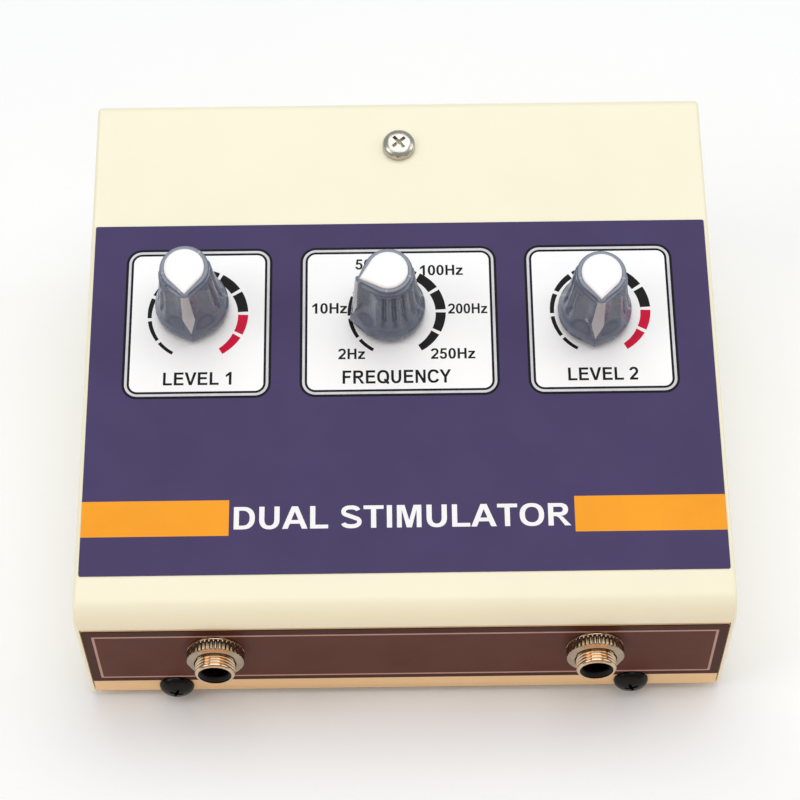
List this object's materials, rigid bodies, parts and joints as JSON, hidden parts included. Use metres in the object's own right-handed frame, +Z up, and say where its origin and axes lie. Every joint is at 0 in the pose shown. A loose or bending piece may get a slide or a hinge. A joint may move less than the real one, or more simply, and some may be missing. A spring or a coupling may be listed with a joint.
{
  "type": "two-channel nerve stimulator console",
  "caption": "Sloping sheet-steel console with pointer knobs on a labelled top and knurled output jacks in its front face, for a nerve-stimulation unit.",
  "frame": {"origin": "under the middle of the whole unit, level with the undersides of the rubber feet", "axes": "+X to the right as the user faces it, +Y to the back, +Z up"},
  "size_m": [0.16, 0.1544, 0.0814],
  "materials": {
    "cream_paint": "semi-gloss powder coat",
    "chassis_paint": "semi-gloss powder coat",
    "indigo_vinyl": "printed vinyl, low gloss",
    "brown_vinyl": "printed vinyl, low gloss",
    "nickel": "nickel plate",
    "jack_chrome": "bright chrome plate",
    "zinc_steel": "zinc plate",
    "black_steel": "gloss black lacquer",
    "rubber": "matte",
    "knob_grey": "moulded, satin gloss",
    "cap_white": "gloss",
    "shaft_alloy": "turned",
    "black_plastic": "moulded, satin",
    "tinned_brass": "tinned",
    "board_green": "solder mask",
    "brass": "plain",
    "chip_black": "matte",
    "resistor_tan": "lacquer",
    "capacitor_sleeve": "shrunk sleeve",
    "film_red": "dipped lacquer",
    "core_iron": "varnished laminations",
    "coil_tape": "wound tape",
    "fuse_glass": "clear",
    "wire_red": "wire cover",
    "wire_black": "wire cover",
    "wire_brown": "wire cover"
  },
  "bodies": {
    "case": {"top_cover": "cream_paint", "chassis": "chassis_paint", "rear_panel": "chassis_paint", "front_panel": "cream_paint", "top_label": "indigo_vinyl", "front_label": "brown_vinyl", "cover_screw": "nickel", "cover_clip": "zinc_steel", "lip_screws": "black_steel", "rubber_feet": "rubber", "foot_screws": "zinc_steel", "foot_nuts": "zinc_steel", "control_level_1": "zinc_steel", "control_frequency": "zinc_steel", "control_level_2": "zinc_steel", "control_nuts": "nickel", "control_washers": "nickel", "control_lugs": "tinned_brass", "jack_sleeve_1": "jack_chrome", "jack_sleeve_2": "jack_chrome", "jack_housing_1": "black_plastic", "jack_housing_2": "black_plastic", "jack_nuts": "jack_chrome", "jack_washers": "jack_chrome", "jack_lugs": "tinned_brass", "switch_frame": "black_plastic", "switch_lugs": "tinned_brass", "inlet_bush": "black_plastic", "inlet_locknut": "black_plastic", "circuit_board": "board_green", "standoffs": "brass", "board_screws": "zinc_steel", "timer_chips": "chip_black", "resistors": "resistor_tan", "component_legs": "tinned_brass", "electrolytic_capacitors": "capacitor_sleeve", "film_capacitors": "film_red", "power_transistors": "chip_black", "pulse_transformer_cores": "core_iron", "pulse_transformer_coils": "coil_tape", "board_fuse": "fuse_glass", "fuse_clips": "tinned_brass", "mains_core": "core_iron", "mains_coil": "coil_tape", "mains_strap": "zinc_steel", "mains_screws": "zinc_steel", "mains_nuts": "zinc_steel", "control_leads": "wire_red", "jack_leads": "wire_black", "power_leads": "wire_brown"},
    "level_1_knob": {"knob_level_1": "knob_grey", "cap_level_1": "cap_white", "shaft_level_1": "shaft_alloy"},
    "frequency_knob": {"knob_frequency": "knob_grey", "cap_frequency": "cap_white", "shaft_frequency": "shaft_alloy"},
    "level_2_knob": {"knob_level_2": "knob_grey", "cap_level_2": "cap_white", "shaft_level_2": "shaft_alloy"},
    "rocker": {"switch_rocker": "black_plastic"}
  },
  "joints": [
    {"name": "level_1_turn", "type": "hinge", "parent": "case", "child": "level_1_knob", "pos_m": [-0.053, 0.01035, 0.05711], "axis": [0, 0.2164, -0.9763], "range_deg": [0, 300]},
    {"name": "frequency_turn", "type": "hinge", "parent": "case", "child": "frequency_knob", "pos_m": [-0.0031, 0.00889, 0.05679], "axis": [0, 0.2164, -0.9763], "range_deg": [-43, 257]},
    {"name": "level_2_turn", "type": "hinge", "parent": "case", "child": "level_2_knob", "pos_m": [0.0491, 0.00762, 0.05651], "axis": [0, 0.2164, -0.9763], "range_deg": [0, 300]},
    {"name": "rocker_tilt", "type": "hinge", "parent": "case", "child": "rocker", "pos_m": [0.042, 0.0665, 0.039], "axis": [0, 0, 1], "range_deg": [0, 14]}
  ]
}
